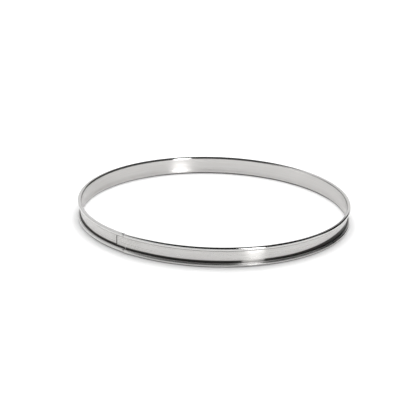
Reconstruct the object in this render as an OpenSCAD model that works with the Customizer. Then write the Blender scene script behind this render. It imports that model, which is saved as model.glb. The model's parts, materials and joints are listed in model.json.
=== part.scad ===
// Tart ring, bent from one strip of stainless steel.
// Both long edges are rolled outward into hollow beads. One end of the strip runs on as a
// flat tongue between the rolls, laps over the other end's wall and is spot-welded to it.
// The ring stands on its lower roll at z = 0, with its axis on Z.

/* [Ring] */
// Diameter inside the wall
inside_d = 280; // [160:10:320]
// Height over both rolled edges
ring_h = 20; // [18:1:35]
// Thickness of the steel strip
sheet_t = 0.6; // [0.4:0.1:0.8]

/* [Rolled edges] */
// Outside diameter of each rolled edge
roll_d = 4; // [3.2:0.2:5.6]
// Air between the free edge of each curl and the wall
curl_gap = 0.2; // [0.1:0.05:0.4]

/* [Joint] */
// Where the roll ends meet, in degrees anticlockwise from +X
joint_angle = 233; // [0:1:359]
// Gap between the two ends of each roll
butt_gap = 0.5; // [0.3:0.1:1.5]
// Length over which the lapping end springs outward by one thickness
ease_l = 24; // [16:2:40]
// Length of the tongue beyond the roll ends
tongue_l = 11; // [9:1:20]
// Air between each roll and the edge of the tongue
tongue_clearance = 0.2; // [0.1:0.1:0.6]
// Air between the lapped sheets, away from the welds
lap_gap = 0.05; // [0.04:0.01:0.1]

/* [Spot welds] */
// Number of welds along the lap
weld_columns = 2; // [1:1:3]
// Number of welds up the wall
weld_rows = 2; // [1:1:3]
// Diameter of each weld
weld_d = 2.2; // [1.6:0.2:2.4]
// Depth of the dent that each weld leaves in the tongue
weld_dent = 0.12; // [0.05:0.01:0.2]

/* [Hidden] */
$fn = 256;

wall_r = inside_d / 2;
roll_r = roll_d / 2;

// The curl ends where its outer corner has only curl_gap left to the wall
mouth_a = acos((roll_r - sheet_t - curl_gap) / roll_r);

// Angles at the ring's axis
ease_a = arc_angle(ease_l, wall_r);
butt_a = arc_angle(butt_gap, wall_r + roll_r);
tongue_a = arc_angle(tongue_l, wall_r + sheet_t);

// The lapping end follows a flatter arc, tangent to the ring where it starts and one
// thickness further out at the butt. Its centre lies ease_shift behind the ring's axis,
// to the micrometre, so that both arcs meet in one and the same section.
ease_end_r = wall_r + sheet_t;
ease_shift = to_micrometre(
    (ease_end_r ^ 2 - wall_r ^ 2) / (2 * (wall_r - ease_end_r * cos(ease_a)))
);
ease_r = wall_r + ease_shift;
ease_turn = atan2(ease_end_r * sin(ease_a), ease_end_r * cos(ease_a) + ease_shift);

// The tongue lies on the far end's wall, clear of both rolls
tongue_r = wall_r + sheet_t + lap_gap;
tongue_z = roll_d + tongue_clearance;
tongue_h = ring_h - 2 * tongue_z;
tongue_root_l = 4 * sheet_t;
tongue_root_a = arc_angle(tongue_root_l, wall_r);

// Angle that an arc of this length takes at this radius, in degrees
function arc_angle(length, radius) = length / radius * 180 / PI;

// Millimetres rounded to three places
function to_micrometre(length) = round(length * 1000) / 1000;

// Place of copy i of n, spread evenly with half a space at each end
function spread(i, n, span) = (i + 0.5) * span / n;

// Section of one rolled edge about its centre, with the wall's side towards -X
module curl_section() {
    difference() {
        circle(r = roll_r);
        circle(r = roll_r - sheet_t);
        polygon([[0, 0], [-roll_d, 0], [-roll_d, -roll_d * tan(mouth_a)]]);
    }
}

// Section of the whole strip, with the wall's inner face at x = r
module strip_section(r) {
    translate([r, roll_r])
        square([sheet_t, ring_h - roll_d]);
    translate([r + roll_r, ring_h - roll_r])
        curl_section();
    translate([r + roll_r, roll_r])
        mirror([0, 1])
            curl_section();
}

// Round part of the strip, from the start of the eased end to the far end of the rolls
module round_strip() {
    rotate_extrude(angle = 360 - ease_a - butt_a)
        strip_section(wall_r);
}

// Last stretch before the butt, on its flatter arc
module eased_end() {
    translate([-ease_shift, 0, 0])
        rotate_extrude(angle = -ease_turn)
            strip_section(ease_r);
}

// Flat tongue, rooted in the eased end's wall and flush with its outer face
module tongue() {
    intersection() {
        rotate([0, 0, -ease_a - tongue_a])
            rotate_extrude(angle = tongue_a + tongue_root_a)
                translate([tongue_r, tongue_z])
                    square([sheet_t, tongue_h]);
        translate([-ease_shift, 0, 0])
            cylinder(r = ease_r + sheet_t, h = ring_h);
    }
}

// Places its children at each weld, with +Z pointing away from the ring's axis
module at_welds() {
    for (column = [0 : weld_columns - 1], row = [0 : weld_rows - 1])
        rotate([0, 0, -ease_a - spread(column, weld_columns, tongue_a)])
            translate([tongue_r, 0, tongue_z + spread(row, weld_rows, tongue_h)])
                rotate([0, 90, 0])
                    children();
}

module ring() {
    color("silver")
        rotate([0, 0, joint_angle + ease_a])
            difference() {
                union() {
                    round_strip();
                    eased_end();
                    tongue();
                    at_welds()
                        translate([0, 0, -lap_gap - sheet_t / 2])
                            cylinder(d = weld_d, h = lap_gap + sheet_t);
                }
                at_welds()
                    translate([0, 0, sheet_t - weld_dent])
                        cylinder(d = weld_d, h = sheet_t);
            }
}

ring();
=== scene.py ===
"""Looks of a tart ring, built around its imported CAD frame.

One strip of stainless steel is bent round. Both edges are rolled outward into hollow curls,
the ends of the rolls butt, and a flat tongue laps over the joint and is spot-welded.
Metres, in the frame of the CAD: the ring's axis is Z and its lower roll stands on z = 0.
"""

import json
import logging
import math
from collections.abc import Callable
from dataclasses import dataclass, field
from enum import Enum

import bmesh
import bpy
from mathutils import Matrix, Vector


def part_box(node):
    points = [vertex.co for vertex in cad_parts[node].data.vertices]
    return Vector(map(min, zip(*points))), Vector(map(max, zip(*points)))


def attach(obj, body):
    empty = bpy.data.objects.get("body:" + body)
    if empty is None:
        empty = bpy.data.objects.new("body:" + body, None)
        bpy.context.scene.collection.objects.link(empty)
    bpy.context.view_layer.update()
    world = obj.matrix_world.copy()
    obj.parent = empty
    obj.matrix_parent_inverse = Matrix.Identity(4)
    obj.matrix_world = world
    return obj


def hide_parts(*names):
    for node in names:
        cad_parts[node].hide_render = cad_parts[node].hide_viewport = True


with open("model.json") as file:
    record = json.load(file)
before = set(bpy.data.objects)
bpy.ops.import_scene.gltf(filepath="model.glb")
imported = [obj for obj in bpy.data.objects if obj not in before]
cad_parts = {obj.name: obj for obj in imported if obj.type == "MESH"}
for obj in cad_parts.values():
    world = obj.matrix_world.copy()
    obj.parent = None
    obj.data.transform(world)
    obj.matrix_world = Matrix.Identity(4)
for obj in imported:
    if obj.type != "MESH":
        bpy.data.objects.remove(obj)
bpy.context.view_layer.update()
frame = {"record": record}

MM = 0.001
ORIGIN = (0.0, 0.0, 0.0)
RING_MIDDLE = (0.0, 0.0, 10 * MM)
WHITE = (1.0, 1.0, 1.0, 1.0)
STRIP_MAP = "strip"
# The outer face is charted this far further along the map than the bore-side face, and every
# place on the map past the split is on the outer face.
OUTER_CHART = 1.0
OUTER_SPLIT = 0.9

Socket = bpy.types.NodeSocket
Color = tuple[float, float, float, float]
Point = tuple[float, float, float]
Span = tuple[float, float]
log = logging.getLogger("tart_ring")


class Skin(Enum):
    """Finishes that the strip's faces take, in the order of its material slots."""

    BRUSHED = 0
    CUT = 1


class Rays(Enum):
    """Kinds of ray that the Light Path node tells apart, by its output's name."""

    CAMERA = "Is Camera Ray"
    GLOSSY = "Is Glossy Ray"
    TRANSMISSION = "Is Transmission Ray"


def hermite(share: float) -> float:
    """Smooth rise from 0 to 1.

    Args:
        share: place along the rise, clamped to 0..1.

    Returns:
        The eased value, with level ends.
    """
    share = min(1.0, max(0.0, share))
    return share * share * (3 - 2 * share)


class NodeDesk:
    """Short ways to add and join the nodes of one material or world."""

    def __init__(self, owner: bpy.types.ID) -> None:
        """Clears the owner's node tree and takes it over.

        Args:
            owner: the material or world whose nodes are made.
        """
        owner.use_nodes = True
        self.tree = owner.node_tree
        self.tree.nodes.clear()

    def add(self, kind: str, **inputs: object) -> bpy.types.Node:
        """Adds a node and fills its inputs.

        Args:
            kind: the node's class name without the ShaderNode prefix.
            inputs: values or output sockets, by input name with _ for a space.

        Returns:
            The new node.
        """
        node = self.tree.nodes.new("ShaderNode" + kind)
        for name, value in inputs.items():
            self.set(node, name.replace("_", " "), value)
        return node

    def set(self, node: bpy.types.Node, name: str | int, value: object) -> None:
        """Links or writes one input.

        Args:
            node: the node that owns the input.
            name: the input's name or number.
            value: an output socket to link, or a plain value.
        """
        if isinstance(value, Socket):
            self.tree.links.new(value, node.inputs[name])
        else:
            node.inputs[name].default_value = value

    def math(self, operation: str, *values: object) -> Socket:
        """Adds one Math node.

        Args:
            operation: the node's operation.
            values: sockets or numbers, in the order of its inputs.

        Returns:
            Its output.
        """
        node = self.tree.nodes.new("ShaderNodeMath")
        node.operation = operation
        for place, value in enumerate(values):
            self.set(node, place, value)
        return node.outputs[0]

    def product(self, first: object, *others: object) -> Socket:
        """Multiplies values.

        Args:
            first: socket or number.
            others: more of them.

        Returns:
            Their product.
        """
        for value in others:
            first = self.math("MULTIPLY", first, value)
        return first

    def most(self, first: object, *others: object) -> Socket:
        """Takes the greatest of some values.

        Args:
            first: socket or number.
            others: more of them.

        Returns:
            The greatest.
        """
        for value in others:
            first = self.math("MAXIMUM", first, value)
        return first

    def rest(self, share: Socket) -> Socket:
        """What a share leaves of 1."""
        return self.math("SUBTRACT", 1.0, share)

    def ramp(
        self, value: Socket, low: float, high: float, to_low: float = 0.0, to_high: float = 1.0
    ) -> Socket:
        """Adds a smooth Map Range.

        Args:
            value: the value to map.
            low: where the rise starts.
            high: where it ends.
            to_low: result at low.
            to_high: result at high.

        Returns:
            The mapped value.
        """
        node = self.tree.nodes.new("ShaderNodeMapRange")
        node.interpolation_type = "SMOOTHSTEP"
        for place, number in enumerate((value, low, high, to_low, to_high)):
            self.set(node, place, number)
        return node.outputs[0]

    def mix(self, share: Socket, first: object, second: object) -> Socket:
        """Mixes two numbers.

        Args:
            share: the second number's share, 0 to 1.
            first: socket or number.
            second: socket or number.

        Returns:
            The mixed number.
        """
        node = self.add("Mix", Factor=share)
        self.set(node, 2, first)
        self.set(node, 3, second)
        return node.outputs[0]

    def mix_colors(
        self, share: object, first: object, second: object, blend: str = "MIX"
    ) -> Socket:
        """Mixes two colours.

        Args:
            share: the second colour's share, 0 to 1.
            first: socket or plain colour.
            second: socket or plain colour.
            blend: the Mix node's blend type.

        Returns:
            The mixed colour.
        """
        node = self.add("Mix")
        node.data_type = "RGBA"
        node.blend_type = blend
        for place, value in ((0, share), (6, first), (7, second)):
            self.set(node, place, value)
        return node.outputs[2]

    def noise(
        self, vector: Socket, pitch: Point, detail: float = 3.0, roughness: float = 0.6
    ) -> Socket:
        """Adds noise stretched to a length along, across and through the surface.

        Args:
            vector: coordinates in metres.
            pitch: size of one feature on each axis, in metres.
            detail: octaves.
            roughness: share of the finer octaves.

        Returns:
            The noise's factor, about 0.5.
        """
        mapping = self.add("Mapping", Vector=vector, Scale=[1 / size for size in pitch])
        grain = self.add(
            "TexNoise",
            Vector=mapping.outputs[0],
            Scale=1.0,
            Detail=detail,
            Roughness=roughness,
        )
        return grain.outputs[0]

    def rays(self, *kinds: Rays) -> Socket:
        """Tells some kinds of ray from the others.

        Args:
            kinds: the kinds.

        Returns:
            1 for rays of those kinds, 0 for others.
        """
        path = self.add("LightPath")
        return self.most(*(path.outputs[kind.value] for kind in kinds))


@dataclass(frozen=True)
class StripChart:
    """Where the strip's features lie on its own map, in metres."""

    wall_half: float
    roll_r: float
    once_round: float
    tongue_l: float
    roll_starts: float = -0.3 * MM
    roll_smooth: float = 1.2 * MM

    def on_curl(self, turned: float) -> float:
        """Distance across the strip to a point of a curl.

        Args:
            turned: how far the curl has turned there, in half turns.

        Returns:
            The distance from the strip's middle.
        """
        return self.wall_half + self.roll_r * turned * math.pi


class StripDesk(NodeDesk):
    """Nodes of a finish that follows the strip, with the places on the strip at hand.

    along is the place along the strip, 0 at the butt, and across the place across it, 0 halfway
    up. bore_side is 1 on the face that looks into the bore and forms the outside of the curls,
    and outer is 1 on the other face. rolled rises from 0 on the wall to 1 on the curls.
    """

    def __init__(self, owner: bpy.types.ID, chart: StripChart) -> None:
        """Takes the owner's node tree over and reads the map.

        Args:
            owner: the material whose nodes are made.
            chart: the strip's map.
        """
        super().__init__(owner)
        self.chart = chart
        uv_map = self.tree.nodes.new("ShaderNodeUVMap")
        uv_map.uv_map = STRIP_MAP
        self.place = uv_map.outputs[0]
        split = self.add("SeparateXYZ", Vector=self.place)
        charted, self.across = split.outputs[0], split.outputs[1]
        self.outer = self.math("GREATER_THAN", charted, OUTER_SPLIT)
        self.bore_side = self.rest(self.outer)
        onward = self.math("SUBTRACT", charted, self.product(self.outer, OUTER_CHART))
        past_half = self.math("GREATER_THAN", onward, chart.once_round / 2)
        self.along = self.math("SUBTRACT", onward, self.product(past_half, chart.once_round))
        self.off_middle = self.math("ABSOLUTE", self.across)
        self.rolled = self.ramp(
            self.off_middle,
            chart.wall_half + chart.roll_starts,
            chart.wall_half + chart.roll_smooth,
        )


@dataclass(frozen=True)
class Stretch:
    """A stretch along the strip that a mark covers, fading out beyond both ends."""

    middle: float
    half: float
    fade: float
    level: float = 1.0

    def over(self, desk: NodeDesk, place: Socket) -> Socket:
        """Says how far the stretch covers a place.

        Args:
            desk: the nodes.
            place: the place along the strip, or across it.

        Returns:
            level inside the stretch, 0 outside.
        """
        away = desk.math("ABSOLUTE", desk.math("SUBTRACT", place, self.middle))
        return desk.ramp(away, self.half, self.half + self.fade, self.level, 0)


@dataclass(frozen=True)
class CurlLine:
    """A line that runs round the ring on the lower or the upper curl.

    turned is how far the curl has turned where the line's middle lies, in half turns.
    """

    turned: float
    half: float
    fade: float
    level: float = 1.0
    upper: bool = False

    def over(self, strip: StripDesk) -> Socket:
        """Says how far the line covers a place.

        Args:
            strip: the material's nodes.

        Returns:
            level on the line, 0 beside it.
        """
        middle = strip.chart.on_curl(self.turned)
        line = Stretch(middle if self.upper else -middle, self.half, self.fade, self.level)
        return line.over(strip, strip.across)


@dataclass(frozen=True)
class ShadeAndWear:
    """Painted shade and painted dark reflections, lighter gaps in them where a lit edge or a
    highlight falls, a dark seam at the joint, and rubbed lines, each at a fixed place on the
    strip.

    Stretches are in metres from the butt, positive anticlockwise, and places on a curl in half
    turns of it. The level of a climb is how much higher the painted shade reaches there. All
    places are fitted to one view of the ring. On the real steel the dark lines in the groove and
    on the curls are shade and reflections; here they are painted into the colour.
    """

    # Dark colour of the painted shade and painted dark reflections, and of the dark seam at the
    # joint.
    residue_and_painted_shade: Color = (0.06, 0.058, 0.055, 1)
    residue_and_painted_shade_roughness: float = 0.45
    # The bore-side wall is made a little darker, fading out onto the curls.
    bore_darkening: float = 0.08
    bore_darkening_end: float = 0.1

    # Painted shade in the outer groove: its top edge, and where it climbs higher at both sides.
    groove_edge: Span = (-4.3 * MM, -3.3 * MM)
    climb_right: Stretch = Stretch(0.29, 0.03, 0.1, 3.2 * MM)
    climb_left: Stretch = Stretch(-0.13, 0.035, 0.05, 1.1 * MM)
    # Gaps in the painted shade where light falls: a glint at the butt's edges, and where the key
    # lamp's highlight crosses the wall and the lower curl.
    butt_glint_gap: Stretch = Stretch(0.3 * MM, 0.4 * MM, 0.5 * MM, 0.6)
    wall_highlight_gap: Stretch = Stretch(0.1295, 0.009, 0.004, 0.65)
    curl_highlight_gap: Stretch = Stretch(0.134, 0.0115, 0.012, 0.65)

    # Painted shade and dark reflections on the lower curl: on its top, along its foot inside and
    # out, and along its front.
    curl_edge: Span = (1.62, 1.45)
    curl_level: float = 0.85
    foot: CurlLine = CurlLine(0.5, 1.8 * MM, 0.8 * MM, 0.6)
    inner_foot: CurlLine = CurlLine(0.25, 0.7 * MM, 0.8 * MM, 0.9)
    inner_foot_rise: Span = (0.24, 0.32)
    inner_foot_front: float = 0.3
    side_line: CurlLine = CurlLine(1.16, 0.2 * MM, 0.9 * MM, 0.6)
    side_stretch: Stretch = Stretch(0.125, 0.095, 0.03)

    # Painted dark reflections along the upper curl, with a gap where the key lamp's highlight
    # crosses at the back.
    shoulder_line: CurlLine = CurlLine(0.11, 0.5 * MM, 0.25 * MM, upper=True)
    shoulder_right: Stretch = Stretch(0.29, 0.08, 0.06, 0.65)
    shoulder_back: Stretch = Stretch(-0.27, 0.13, 0.05, 0.9)
    shoulder_highlight_gap: Stretch = Stretch(-0.31, 0.009, 0.004, 0.9)
    brim_line: CurlLine = CurlLine(0.54, 0.3 * MM, 0.2 * MM, 0.8, upper=True)
    brim_left: Stretch = Stretch(0.07, 0.042, 0.01)
    brim_right: Stretch = Stretch(0.205, 0.052, 0.01)

    # A dark line at the lap's edge: the seam itself, and painted shade on the wall just beside
    # it.
    lap_past: float = 0.35 * MM
    lap_half: float = 0.75 * MM
    lap_fade: float = 0.25 * MM
    lap_edge: Span = (5.7 * MM, 6.2 * MM)
    butt: Stretch = Stretch(-0.25 * MM, 0.4 * MM, 0.5 * MM, 0.6)
    butt_end: float = 0.2

    crest_line: CurlLine = CurlLine(1.42, 0.6 * MM, 0.3 * MM)
    crest_level: float = 0.8
    crest_spared: Stretch = Stretch(0.09, 0.035, 0.03, 0.35)
    crest_roughness: float = 0.5

    def outside_lit_gaps(self, strip: StripDesk, lit_gap: Stretch) -> Socket:
        """Share of the painted shade that is kept, less where the butt's edge catches light and
        where one highlight falls.

        Args:
            strip: the material's nodes.
            lit_gap: the stretch.

        Returns:
            The share that is left.
        """
        butt = self.butt_glint_gap.over(strip, strip.along)
        return strip.rest(strip.most(butt, lit_gap.over(strip, strip.along)))

    def groove(self, strip: StripDesk) -> Socket:
        """Painted shade on the wall in the outer groove, above the lower curl.

        Args:
            strip: the material's nodes.

        Returns:
            The cover, 0 to 1.
        """
        climb = strip.most(
            self.climb_right.over(strip, strip.along), self.climb_left.over(strip, strip.along)
        )
        level = strip.math("SUBTRACT", strip.across, climb)
        below = strip.ramp(level, *self.groove_edge, 1, 0)
        return strip.product(strip.outer, self.outside_lit_gaps(strip, self.wall_highlight_gap), below)

    def lower_curl(self, strip: StripDesk) -> Socket:
        """Painted shade and dark reflections on the lower curl: its top, its foot and a line
        along its front.

        Args:
            strip: the material's nodes.

        Returns:
            The cover, 0 to 1.
        """
        start, end = (-strip.chart.on_curl(turned) for turned in self.curl_edge)
        tucked = strip.product(
            self.outside_lit_gaps(strip, self.curl_highlight_gap),
            strip.ramp(strip.across, start, end, self.curl_level, 0),
        )
        from_butt = strip.math("ABSOLUTE", strip.along)
        inner_foot = strip.product(
            self.inner_foot.over(strip),
            strip.ramp(from_butt, *self.inner_foot_rise, self.inner_foot_front, 1),
        )
        side = strip.product(
            self.side_line.over(strip), self.side_stretch.over(strip, strip.along)
        )
        return strip.most(tucked, self.foot.over(strip), inner_foot, side)

    def upper_curl(self, strip: StripDesk) -> Socket:
        """Painted dark reflections on the upper curl's inner shoulder and on its brim.

        Args:
            strip: the material's nodes.

        Returns:
            The cover, 0 to 1.
        """
        back = strip.math(
            "SUBTRACT",
            self.shoulder_back.over(strip, strip.along),
            self.shoulder_highlight_gap.over(strip, strip.along),
        )
        shoulder = strip.product(
            self.shoulder_line.over(strip),
            strip.most(self.shoulder_right.over(strip, strip.along), back),
        )
        brim = strip.product(
            self.brim_line.over(strip),
            strip.most(
                self.brim_left.over(strip, strip.along),
                self.brim_right.over(strip, strip.along),
            ),
        )
        return strip.most(shoulder, brim)

    def joint(self, strip: StripDesk) -> Socket:
        """Residue at the lap's edge, with painted shade on the wall beside it, and at the ends
        of the curls.

        Args:
            strip: the material's nodes.

        Returns:
            The cover, 0 to 1.
        """
        chart = strip.chart
        edge = Stretch(-chart.tongue_l - self.lap_past, self.lap_half, self.lap_fade)
        lap = strip.product(
            edge.over(strip, strip.along),
            strip.outer,
            strip.ramp(strip.off_middle, *self.lap_edge, 1, 0),
        )
        butt = strip.product(
            self.butt.over(strip, strip.along),
            strip.ramp(strip.off_middle, chart.wall_half, chart.on_curl(self.butt_end)),
        )
        return strip.most(lap, butt)

    def cover(self, strip: StripDesk) -> Socket:
        """Where painted shade, a darker bore-side wall and the dark seam at the joint cover the
        steel.

        Args:
            strip: the material's nodes.

        Returns:
            The cover, 0 to 1.
        """
        chart = strip.chart
        bore_darkening = strip.ramp(
            strip.off_middle, chart.wall_half, chart.on_curl(self.bore_darkening_end), self.bore_darkening, 0
        )
        bore = strip.most(bore_darkening, self.lower_curl(strip), self.upper_curl(strip))
        return strip.most(
            self.groove(strip), strip.product(bore, strip.bore_side), self.joint(strip)
        )

    def rubbed(self, strip: StripDesk) -> Socket:
        """Where the lower curl's crest is rubbed rough, less so on one stretch in front.

        Args:
            strip: the material's nodes.

        Returns:
            The share, 0 to 1.
        """
        spared = self.crest_spared.over(strip, strip.along)
        return strip.product(
            self.crest_line.over(strip),
            strip.bore_side,
            strip.math("SUBTRACT", self.crest_level, spared),
        )


@dataclass(frozen=True)
class BrushedSteel:
    """Bright stainless strip, finely brushed along its length, smoother on the rolled edges.

    Painted shade marks it, welding leaves a mottled grey patch at the joint, and one stretch of
    the outer face is painted darker to dim the key lamp's highlight there. Its place is fitted
    to one view, as the painted shade's places are.
    """

    name: str = "brushed_steel"
    shade_and_wear: ShadeAndWear = ShadeAndWear()
    wall_color: Color = (0.612, 0.601, 0.59, 1)
    roll_color: Color = (0.59, 0.585, 0.578, 1)
    # Grey of the weld's heat tint, and also the dark of the painted shade under the key lamp's
    # highlight.
    weld_and_dimming_grey: Color = (0.5, 0.495, 0.48, 1)
    wall_roughness: float = 0.28
    roll_roughness: float = 0.11
    anisotropy: float = 1.0
    grain_turn: float = 0.25

    brush_pitch: Point = (18 * MM, 0.14 * MM, 1)
    brush_depth: float = 0.0014 * MM
    wave_pitch: Point = (34 * MM, 26 * MM, 1)
    wave_depth: float = 0.03 * MM
    streak_pitch: Point = (60 * MM, 1.1 * MM, 1)
    tint_streaks: Span = (0.25, 0.75)
    tint_levels: Span = (0.95, 1.03)
    rough_streaks: Span = (0.2, 0.8)
    rough_levels: Span = (-0.018, 0.018)

    weld_patch: Stretch = Stretch(0, 14 * MM, 9 * MM)
    mottle_pitch: Point = (1.7 * MM, 1.2 * MM, 1)
    mottle_edge: Span = (0.36, 0.64)
    stain_level: float = 0.8
    # Painted shade on the outer face where the key lamp's highlight falls, to dim it.
    highlight_dimming: Stretch = Stretch(0.131, 0.01, 0.012, 0.5)

    def color(self, strip: StripDesk, streak: Socket, cover: Socket) -> Socket:
        """Mixes the steel's colour.

        Args:
            strip: the material's nodes.
            streak: the streaks' noise.
            cover: where painted shade, a darker bore-side wall and the dark seam at the joint
                cover the steel.

        Returns:
            The colour.
        """
        mottle = strip.noise(strip.place, self.mottle_pitch, detail=2.0)
        stain = strip.product(
            self.weld_patch.over(strip, strip.along),
            strip.rest(strip.rolled),
            strip.ramp(mottle, *self.mottle_edge, 0, self.stain_level),
        )
        tint = strip.ramp(streak, *self.tint_streaks, *self.tint_levels)
        shade = strip.add("CombineColor", Red=tint, Green=tint, Blue=tint).outputs[0]
        # Painted shade: the outer face is darker where the key lamp's highlight falls.
        dim_share = strip.product(self.highlight_dimming.over(strip, strip.along), strip.outer)
        wall = strip.mix_colors(dim_share, self.wall_color, self.weld_and_dimming_grey)
        plain = strip.mix_colors(strip.rolled, wall, self.roll_color)
        streaked = strip.mix_colors(1.0, plain, shade, "MULTIPLY")
        stained = strip.mix_colors(stain, streaked, self.weld_and_dimming_grey)
        # Painted shade darkens the steel here, and so does the dark seam at the joint.
        return strip.mix_colors(cover, stained, self.shade_and_wear.residue_and_painted_shade)

    def roughness(self, strip: StripDesk, streak: Socket, cover: Socket) -> Socket:
        """Mixes the steel's roughness.

        Args:
            strip: the material's nodes.
            streak: the streaks' noise.
            cover: where painted shade, a darker bore-side wall and the dark seam at the joint
                cover the steel.

        Returns:
            The roughness.
        """
        clean = strip.math(
            "ADD",
            strip.ramp(strip.rolled, 0, 1, self.wall_roughness, self.roll_roughness),
            strip.ramp(streak, *self.rough_streaks, *self.rough_levels),
        )
        covered = strip.mix(cover, clean, self.shade_and_wear.residue_and_painted_shade_roughness)
        return strip.mix(self.shade_and_wear.rubbed(strip), covered, self.shade_and_wear.crest_roughness)

    def relief(self, strip: StripDesk) -> Socket:
        """Raises the brushing and the slow waves of the sheet.

        Args:
            strip: the material's nodes.

        Returns:
            The bumped normal.
        """
        brush = strip.noise(strip.place, self.brush_pitch, detail=2.0)
        wave = strip.noise(strip.place, self.wave_pitch, detail=1.0)
        fine = strip.add("Bump", Height=brush, Distance=self.brush_depth).outputs[0]
        return strip.add("Bump", Height=wave, Distance=self.wave_depth, Normal=fine).outputs[0]

    def material(self, chart: StripChart) -> bpy.types.Material:
        """Makes the finish.

        Args:
            chart: the strip's map.

        Returns:
            The material.
        """
        mat = bpy.data.materials.new(self.name)
        strip = StripDesk(mat, chart)
        cover = self.shade_and_wear.cover(strip)
        streak = strip.noise(strip.place, self.streak_pitch)
        tangent = strip.tree.nodes.new("ShaderNodeTangent")
        tangent.direction_type = "UV_MAP"
        tangent.uv_map = STRIP_MAP
        steel = strip.add(
            "BsdfPrincipled",
            Base_Color=self.color(strip, streak, cover),
            Metallic=1.0,
            Roughness=self.roughness(strip, streak, cover),
            Anisotropic=self.anisotropy,
            Anisotropic_Rotation=self.grain_turn,
            Normal=self.relief(strip),
            Tangent=tangent.outputs[0],
        )
        strip.add("OutputMaterial", Surface=steel.outputs[0])
        return mat


@dataclass(frozen=True)
class CutSteel:
    """Sheared edge of the strip: duller and darker than its faces, torn across its thickness."""

    name: str = "cut_steel"
    color: Color = (0.33, 0.325, 0.32, 1)
    roughness: Span = (0.34, 0.52)
    tear_pitch: Point = (0.35 * MM, 0.12 * MM, 0.12 * MM)
    tear_edge: Span = (0.3, 0.7)
    tear_depth: float = 0.01 * MM

    def material(self) -> bpy.types.Material:
        """Makes the finish, on Object coordinates.

        Returns:
            The material.
        """
        mat = bpy.data.materials.new(self.name)
        desk = NodeDesk(mat)
        tear = desk.noise(desk.add("TexCoord").outputs["Object"], self.tear_pitch)
        relief = desk.add("Bump", Height=tear, Distance=self.tear_depth)
        steel = desk.add(
            "BsdfPrincipled",
            Base_Color=self.color,
            Metallic=1.0,
            Roughness=desk.ramp(tear, *self.tear_edge, *self.roughness),
            Normal=relief.outputs[0],
        )
        desk.add("OutputMaterial", Surface=steel.outputs[0])
        return mat


@dataclass
class StripSection:
    """Cross-section of the bent strip: a flat wall with a hollow curl along each edge."""

    wall_r: float
    height: float
    roll_r: float
    sheet_t: float = 0.6 * MM
    curl_gap: float = 0.2 * MM
    crown: float = 0.5 * MM
    crown_power: int = 4
    tongue_clearance: float = 0.2 * MM
    tongue_rows: int = 16
    quarter_steps: int = 9
    curl_steps: int = 22

    @property
    def wall_half(self) -> float:
        """Half the height of the flat wall between the rolls' centres."""
        return self.height / 2 - self.roll_r

    @property
    def curl_sweep(self) -> float:
        """Angle that each curl turns through, until only curl_gap is left to the wall."""
        opening = math.acos((self.roll_r - self.sheet_t - self.curl_gap) / self.roll_r)
        return 2 * math.pi - opening

    @property
    def tongue_levels(self) -> Span:
        """Lower and upper edge of the tongue."""
        low = 2 * self.roll_r + self.tongue_clearance
        return low, self.height - low

    @property
    def crown_levels(self) -> Span:
        """Heights between which the wall is bowed outward."""
        low = 2 * self.roll_r - self.curl_gap
        return low, self.height - low

    def bow(self, z: float) -> float:
        """How far the wall bows outward at a height.

        Args:
            z: height above the lower roll's foot.

        Returns:
            The distance, greatest halfway up.
        """
        low, high = self.crown_levels
        off_middle = abs(2 * z - low - high) / (high - low)
        return self.crown * max(0.0, 1 - off_middle**self.crown_power)

    def draw(self, bm: bmesh.types.BMesh) -> None:
        """Draws the strip's bore-side line in the XZ plane, as edges.

        Args:
            bm: the empty mesh that takes the line.
        """
        low, high = self.tongue_levels
        rows = self.tongue_rows
        foot_z, head_z = self.crown_levels
        levels = [low + (high - low) * row / rows for row in range(rows + 1)]
        foot = tip = bm.verts.new((self.wall_r, 0, self.roll_r))
        for level in [foot_z] + levels + [head_z, self.height - self.roll_r]:
            raised = bmesh.ops.extrude_vert_indiv(bm, verts=[tip])["verts"]
            bmesh.ops.translate(bm, verts=raised, vec=(0, 0, level - tip.co.z))
            tip = raised[0]
        for end, way in ((tip, 1), (foot, -1)):
            centre = (self.wall_r + self.roll_r, 0, end.co.z)
            bead = [end]
            for turn, steps in (
                (math.pi / 2, self.quarter_steps),
                (self.curl_sweep - math.pi / 2, self.curl_steps),
            ):
                bead = bmesh.ops.spin(
                    bm,
                    geom=bead,
                    cent=centre,
                    axis=(0, way, 0),
                    dvec=ORIGIN,
                    angle=turn,
                    steps=steps,
                )["geom_last"]
                bead = [part for part in bead if isinstance(part, bmesh.types.BMVert)]

    def developed(self, radius: float, z: float) -> float:
        """Distance from the strip's middle, measured across it as if it were still flat.

        Args:
            radius: distance from the ring's axis.
            z: height above the lower roll's foot.

        Returns:
            The distance, positive upward.
        """
        up = z - self.height / 2
        over = abs(up) - self.wall_half
        if over <= 0 and radius < self.wall_r + self.sheet_t / 2:
            return up
        turned = (
            math.pi - math.atan2(over, radius - self.wall_r - self.roll_r)
        ) % (2 * math.pi)
        return math.copysign(self.wall_half + self.roll_r * turned, up)


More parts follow.
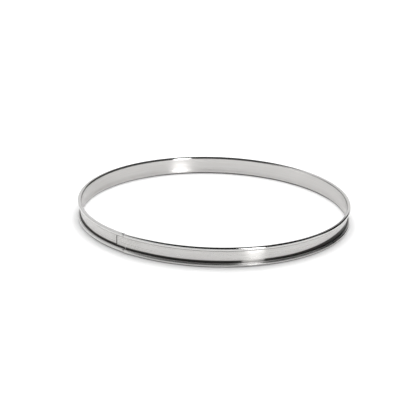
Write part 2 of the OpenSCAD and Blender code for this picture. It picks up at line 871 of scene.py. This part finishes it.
@dataclass
class SpotWelds:
    """Dents that the welding electrodes leave in the tongue."""

    columns: int = 2
    rows: int = 2
    radius: float = 1.1 * MM
    dent: float = 0.12 * MM
    shoulder: float = 0.45 * MM
    skin_depth: float = 0.1 * MM

    def press(
        self,
        bm: bmesh.types.BMesh,
        surface_r: Callable[[float], float],
        turn: float,
        levels: Span,
    ) -> int:
        """Presses round dents into the tongue's outer face.

        Args:
            bm: the strip, with its joint at angle 0 and the tongue at negative angles.
            surface_r: radius of the tongue's outer face at a height.
            turn: angle that the tongue takes.
            levels: its lower and upper edge.

        Returns:
            The number of vertices moved.
        """
        low, high = levels
        spots = [
            (-turn * (col + 0.5) / self.columns, low + (high - low) * (row + 0.5) / self.rows)
            for col in range(self.columns)
            for row in range(self.rows)
        ]
        moved = 0
        for vert in bm.verts:
            reach = math.hypot(vert.co.x, vert.co.y)
            face_r = surface_r(vert.co.z)
            if abs(reach - face_r) > self.skin_depth or not low < vert.co.z < high:
                continue
            angle = math.atan2(vert.co.y, vert.co.x)
            if not -turn < angle < 0:
                continue
            for spot_angle, spot_z in spots:
                away = math.hypot((angle - spot_angle) * face_r, vert.co.z - spot_z)
                depth = self.dent * hermite(
                    (self.radius + self.shoulder / 2 - away) / self.shoulder
                )
                if depth:
                    vert.co.xy *= (reach - depth) / reach
                    moved += 1
        return moved


@dataclass
class RolledStrip:
    """The whole ring: round strip, eased end, tongue and welds, as one closed shell."""

    section: StripSection
    name: str = "rolled_strip"
    welds: SpotWelds = field(default_factory=SpotWelds)
    joint_angle: float = math.radians(233)
    butt_gap: float = 0.5 * MM
    ease_l: float = 24 * MM
    tongue_l: float = 11 * MM
    lap_gap: float = 0.05 * MM
    round_steps: int = 340
    ease_steps: int = 22
    tongue_steps: int = 15
    tongue_cuts: int = 2
    rim_round: float = 0.1 * MM
    rim_segments: int = 2
    rim_corner: float = math.radians(50)
    slack: float = 0.01 * MM
    angle_slack: float = 1e-4

    @property
    def ease_turn(self) -> float:
        """Angle that the eased end takes."""
        return self.ease_l / self.section.wall_r

    @property
    def tongue_turn(self) -> float:
        """Angle that the tongue takes beyond the butt."""
        return self.tongue_l / (self.section.wall_r + self.section.sheet_t)

    @property
    def butt_turn(self) -> float:
        """Angle of the gap between the roll ends."""
        return self.butt_gap / (self.section.wall_r + self.section.roll_r)

    def sweep(self, bm: bmesh.types.BMesh, parts: list, turn: float, steps: int) -> list:
        """Spins a line of the strip about the ring's axis.

        Args:
            bm: the mesh.
            parts: vertices and edges to spin.
            turn: angle, anticlockwise.
            steps: number of faces along it.

        Returns:
            The line at the far end.
        """
        return bmesh.ops.spin(
            bm, geom=parts, cent=ORIGIN, axis=(0, 0, 1), dvec=ORIGIN, angle=turn, steps=steps
        )["geom_last"]

    def line_at(self, bm: bmesh.types.BMesh, angle: float) -> list:
        """Finds the strip's line at one angle.

        Args:
            bm: the mesh.
            angle: the line's place round the ring.

        Returns:
            Its vertices and edges.
        """
        verts = [
            vert
            for vert in bm.verts
            if abs(math.atan2(vert.co.y, vert.co.x) - angle) < self.angle_slack
        ]
        found = set(verts)
        return verts + [edge for edge in bm.edges if found.issuperset(edge.verts)]

    def chart(self, bm: bmesh.types.BMesh, faces: list, start: float) -> None:
        """Writes the strip map: metres along the strip and across it.

        Args:
            bm: the mesh, with the joint at angle 0.
            faces: faces to chart.
            start: an angle just before the first of them.
        """
        maps = bm.loops.layers.uv
        layer = maps.get(STRIP_MAP) or maps.new(STRIP_MAP)
        for face in faces:
            for loop in face.loops:
                x, y, z = loop.vert.co
                angle = (math.atan2(y, x) - start) % (2 * math.pi) + start
                across = self.section.developed(math.hypot(x, y), z)
                loop[layer].uv = (angle * self.section.wall_r, across)

    def ease_outward(self, verts: list) -> None:
        """Moves the eased end and the tongue outward by the lap, in one smooth bend.

        Args:
            verts: vertices of both, still on the plain circle.
        """
        lift = self.section.sheet_t + self.lap_gap
        for vert in verts:
            reach = math.hypot(vert.co.x, vert.co.y)
            angle = math.atan2(vert.co.y, vert.co.x)
            rise = lift * hermite(1 - angle / self.ease_turn)
            vert.co.xy *= (reach + rise) / reach

    def crown_wall(self, bm: bmesh.types.BMesh) -> None:
        """Bows the wall outward between the rolls, the tongue with it.

        Args:
            bm: the mesh of the bore-side face.
        """
        limit = self.section.wall_r + 2 * self.section.sheet_t
        for vert in bm.verts:
            reach = math.hypot(vert.co.x, vert.co.y)
            if reach < limit:
                vert.co.xy *= (reach + self.section.bow(vert.co.z)) / reach

    def thicken(self, bm: bmesh.types.BMesh) -> None:
        """Gives the strip its thickness and rounds the cut edges.

        Args:
            bm: the mesh of the bore-side face.
        """
        skin = set(bm.faces)
        borders = [edge for edge in bm.edges if edge.is_boundary]
        bmesh.ops.solidify(bm, geom=bm.faces[:], thickness=self.section.sheet_t)
        rims = {face for edge in borders for face in edge.link_faces if face not in skin}
        layer = bm.loops.layers.uv[STRIP_MAP]
        for face in bm.faces:
            if face in rims:
                face.material_index = Skin.CUT.value
            elif face not in skin:
                for loop in face.loops:
                    loop[layer].uv.x += OUTER_CHART
        bmesh.ops.recalc_face_normals(bm, faces=bm.faces[:])
        corners = [
            edge
            for edge in bm.edges
            if edge.calc_face_angle(0) > self.rim_corner
            and any(face in rims for face in edge.link_faces)
        ]
        bmesh.ops.bevel(
            bm,
            geom=corners,
            affect="EDGES",
            offset_type="OFFSET",
            offset=self.rim_round,
            segments=self.rim_segments,
            profile=0.5,
            material=-1,
            clamp_overlap=True,
        )

    def tongue_line(self, bm: bmesh.types.BMesh) -> list:
        """Finds the part of the strip's line that runs on as the tongue.

        Args:
            bm: the mesh, with nothing but the line in it.

        Returns:
            Its edges and vertices.
        """
        low, high = self.section.tongue_levels
        slack = self.slack
        edges = [
            edge
            for edge in bm.edges
            if all(
                low - slack < vert.co.z < high + slack
                and vert.co.x < self.section.wall_r + slack
                for vert in edge.verts
            )
        ]
        return edges + list(dict.fromkeys(vert for edge in edges for vert in edge.verts))

    def make_lapping_end(self, bm: bmesh.types.BMesh) -> None:
        """Spins the eased end and the tongue, charts them and bends them outward.

        Args:
            bm: the mesh, with nothing but the strip's line in it.
        """
        line = bm.verts[:] + bm.edges[:]
        lap = self.tongue_line(bm)
        self.sweep(bm, line, self.ease_turn, self.ease_steps)
        eased_faces = set(bm.faces)
        self.sweep(bm, lap, -self.tongue_turn, self.tongue_steps)
        fine = dict.fromkeys(
            edge
            for face in bm.faces
            if face not in eased_faces
            for edge in face.edges
            if any(vert.co.y < -self.slack for vert in edge.verts)
        )
        bmesh.ops.subdivide_edges(
            bm, edges=list(fine), cuts=self.tongue_cuts, use_grid_fill=True
        )
        self.chart(bm, bm.faces[:], -math.pi)
        self.ease_outward(bm.verts[:])

    def make_round(self, bm: bmesh.types.BMesh) -> None:
        """Spins the rest of the strip on from the eased end, and charts it.

        Args:
            bm: the mesh, with the lapping end in it.
        """
        joined = set(bm.faces)
        turn = 2 * math.pi - self.ease_turn - self.butt_turn
        self.sweep(bm, self.line_at(bm, self.ease_turn), turn, self.round_steps)
        added = [face for face in bm.faces if face not in joined]
        self.chart(bm, added, self.ease_turn / 2)

    def press_welds(self, bm: bmesh.types.BMesh) -> None:
        """Presses the spot welds into the tongue.

        Args:
            bm: the mesh, with its thickness.
        """
        section = self.section
        face_r = section.wall_r + 2 * section.sheet_t + self.lap_gap
        pressed = self.welds.press(
            bm, lambda z: face_r + section.bow(z), self.tongue_turn, section.tongue_levels
        )
        log.info("spot welds: %d points pressed", pressed)

    def build(self) -> bpy.types.Object:
        """Builds the strip with its joint at angle 0, then turns it into place.

        Returns:
            The finished object, linked to the scene.
        """
        bm = bmesh.new()
        self.section.draw(bm)
        self.make_lapping_end(bm)
        self.make_round(bm)
        self.crown_wall(bm)
        self.thicken(bm)
        self.press_welds(bm)
        turn = Matrix.Rotation(self.joint_angle, 3, "Z")
        bmesh.ops.rotate(bm, verts=bm.verts[:], cent=ORIGIN, matrix=turn)
        for face in bm.faces:
            face.smooth = True
        mesh = bpy.data.meshes.new(self.name)
        bm.to_mesh(mesh)
        bm.free()
        piece = bpy.data.objects.new(self.name, mesh)
        bpy.context.scene.collection.objects.link(piece)
        return piece

    def dress(self, piece: bpy.types.Object) -> None:
        """Gives the strip its finishes and ties it to the frame.

        Args:
            piece: the object that build() made.
        """
        section = self.section
        chart = StripChart(
            wall_half=section.wall_half,
            roll_r=section.roll_r,
            once_round=2 * math.pi * section.wall_r,
            tongue_l=self.tongue_turn * section.wall_r,
        )
        piece.data.materials.append(BrushedSteel().material(chart))
        piece.data.materials.append(CutSteel().material())
        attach(piece, "root")
        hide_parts("ring")


@dataclass(frozen=True)
class PaleFloor:
    """Plain white table top that keeps the ring's shadow and pales towards the horizon."""

    name: str = "pale_floor"
    color: Color = (0.9, 0.9, 0.9, 1)
    shine: float = 0.11
    far_shine: float = 0.32
    pales: Span = (0.3, 1.6)

    def material(self) -> bpy.types.Material:
        """Makes the finish: matt white, with a little white light of its own for the eye,
        for glossy and for transmitted rays.

        Returns:
            The material.
        """
        mat = bpy.data.materials.new(self.name)
        desk = NodeDesk(mat)
        seen = desk.rays(Rays.CAMERA, Rays.GLOSSY, Rays.TRANSMISSION)
        away = desk.tree.nodes.new("ShaderNodeVectorMath")
        away.operation = "LENGTH"
        desk.set(away, 0, desk.add("TexCoord").outputs["Object"])
        shine = desk.ramp(away.outputs["Value"], *self.pales, self.shine, self.far_shine)
        matt = desk.add("BsdfDiffuse", Color=self.color)
        glow = desk.add("Emission", Color=WHITE, Strength=desk.product(seen, shine))
        both = desk.add("AddShader")
        desk.set(both, 0, matt.outputs[0])
        desk.set(both, 1, glow.outputs[0])
        desk.add("OutputMaterial", Surface=both.outputs[0])
        return mat


@dataclass
class Softbox:
    """A rectangular lamp that faces the ring.

    mirrored tells whether the steel reflects it, and diffuse whether it lights matt surfaces.
    """

    name: str
    place: Point
    width: float
    tall: float
    power: float
    mirrored: bool = True
    diffuse: bool = True

    def hang(self) -> bpy.types.Object:
        """Hangs the lamp.

        Returns:
            The lamp's object.
        """
        data = bpy.data.lights.new(self.name, "AREA")
        data.shape = "RECTANGLE"
        data.size, data.size_y = self.width, self.tall
        data.energy = self.power
        lamp = bpy.data.objects.new(self.name, data)
        lamp.location = self.place
        aim = Vector(RING_MIDDLE) - Vector(self.place)
        lamp.rotation_euler = aim.to_track_quat("-Z", "Y").to_euler()
        lamp.visible_camera = False
        lamp.visible_glossy = self.mirrored
        lamp.visible_diffuse = self.diffuse
        bpy.context.scene.collection.objects.link(lamp)
        return lamp


@dataclass
class Studio:
    """Floor, surroundings and lamps."""

    floor_r: float = 6.0
    floor_z: float = -0.02 * MM
    floor_sides: int = 64
    plain_level: float = 0.79
    background: float = 1.0
    walls: float = 0.95
    ceiling: float = 0.02
    ceiling_way: Point = (0.21, -0.12, 1)
    ceiling_edge: float = 0.64
    corner_way: Point = (0.75, 0.54, 0.38)
    corner_edge: float = 0.9
    edge_blur: float = 0.035

    def lay_floor(self) -> bpy.types.Object:
        """Lays the floor just under the ring.

        Returns:
            The floor.
        """
        bm = bmesh.new()
        bmesh.ops.create_circle(
            bm, cap_ends=True, segments=self.floor_sides, radius=self.floor_r
        )
        bmesh.ops.translate(bm, verts=bm.verts[:], vec=(0, 0, self.floor_z))
        mesh = bpy.data.meshes.new("floor")
        bm.to_mesh(mesh)
        bm.free()
        floor = bpy.data.objects.new("floor", mesh)
        floor.data.materials.append(PaleFloor().material())
        bpy.context.scene.collection.objects.link(floor)
        return floor

    def toward(self, desk: NodeDesk, way: Point, edge: float) -> Socket:
        """Marks the part of the surroundings that lies towards one direction.

        Args:
            desk: the world's nodes.
            way: the direction.
            edge: dot product with it at the part's edge.

        Returns:
            1 inside the part, 0 outside, with a soft edge.
        """
        onto = desk.tree.nodes.new("ShaderNodeVectorMath")
        onto.operation = "DOT_PRODUCT"
        desk.set(onto, 0, desk.add("TexCoord").outputs["Generated"])
        desk.set(onto, 1, way)
        return desk.ramp(onto.outputs["Value"], edge - self.edge_blur, edge + self.edge_blur)

    def surround(self) -> None:
        """Makes the surroundings: plain light, a white background, and for reflections a
        room with pale walls, a dark ceiling and one dark corner."""
        world = bpy.data.worlds.new("studio_room")
        bpy.context.scene.world = world
        desk = NodeDesk(world)
        dark = self.toward(desk, self.ceiling_way, self.ceiling_edge)
        corner = self.toward(desk, self.corner_way, self.corner_edge)
        room = desk.mix(desk.most(dark, corner), self.walls, self.ceiling)
        shown = desk.mix(desk.rays(Rays.GLOSSY), self.plain_level, room)
        clear = desk.rays(Rays.CAMERA, Rays.TRANSMISSION)
        white = desk.mix(clear, shown, self.background)
        sky = desk.add("Background", Color=WHITE, Strength=white)
        desk.add("OutputWorld", Surface=sky.outputs[0])

    def light(self) -> list[bpy.types.Object]:
        """Hangs the softboxes.

        Returns:
            The lamps.
        """
        key = Softbox(
            "key_softbox", (0.82, -1.23, 0.8), width=0.4, tall=1.5, power=10.4, diffuse=False
        )
        top = Softbox(
            "top_softbox", (0.05, 0.5, 1.4), width=1.0, tall=1.0, power=12.0, mirrored=False
        )
        middle = Softbox(
            "middle_lamp", (0, 0.16, 0.34), width=0.15, tall=0.15, power=0.14, mirrored=False
        )
        return [box.hang() for box in (key, top, middle)]


@dataclass
class Viewpoint:
    """Camera at the photograph's place."""

    aim: Point = RING_MIDDLE
    distance: float = 1.218
    elevation: float = math.radians(19.94)
    roll: float = math.radians(1.72)
    lens: float = 99.3
    sensor: float = 36.0
    shift: Span = (-0.0149, -0.0046)
    clip: Span = (0.05, 40.0)

    def place(self) -> bpy.types.Object:
        """Places the camera.

        Returns:
            The camera.
        """
        data = bpy.data.cameras.new("viewpoint")
        data.lens = self.lens
        data.sensor_width = self.sensor
        data.shift_x, data.shift_y = self.shift
        data.clip_start, data.clip_end = self.clip
        camera = bpy.data.objects.new("viewpoint", data)
        back = Vector((0, -math.cos(self.elevation), math.sin(self.elevation)))
        level = Vector((1, 0, 0))
        upright = back.cross(level)
        right = math.cos(self.roll) * level + math.sin(self.roll) * upright
        up = back.cross(right)
        turn = Matrix((right, up, back)).transposed().to_4x4()
        camera.matrix_world = Matrix.Translation(Vector(self.aim) + back * self.distance) @ turn
        bpy.context.scene.collection.objects.link(camera)
        bpy.context.scene.camera = camera
        return camera


def ring_section() -> StripSection:
    """Takes the strip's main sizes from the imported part.

    Returns:
        The section, with the wall's radius from the bore and the rolls from what is left of
        the height above and below it.
    """
    low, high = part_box("ring")
    bore = frame["record"]["mounts"][0]["dims"]
    height = round(high[2] - low[2], 4)
    return StripSection(
        wall_r=bore["r_mm"] * MM,
        height=height,
        roll_r=(height - bore["length_mm"] * MM) / 2,
    )


def main() -> None:
    """Builds the ring, the studio and the camera in order."""
    logging.basicConfig(level=logging.INFO, format="%(name)s: %(message)s")
    bpy.context.scene.view_settings.view_transform = "Standard"
    ring = RolledStrip(ring_section())
    piece = ring.build()
    ring.dress(piece)
    piece.data.calc_loop_triangles()
    log.info("%s: %d triangles", piece.name, len(piece.data.loop_triangles))
    studio = Studio()
    studio.lay_floor()
    studio.surround()
    for lamp in studio.light():
        log.info("lamp %s", lamp.name)
    log.info("camera %s", Viewpoint().place().name)


if __name__ == "__main__":
    main()
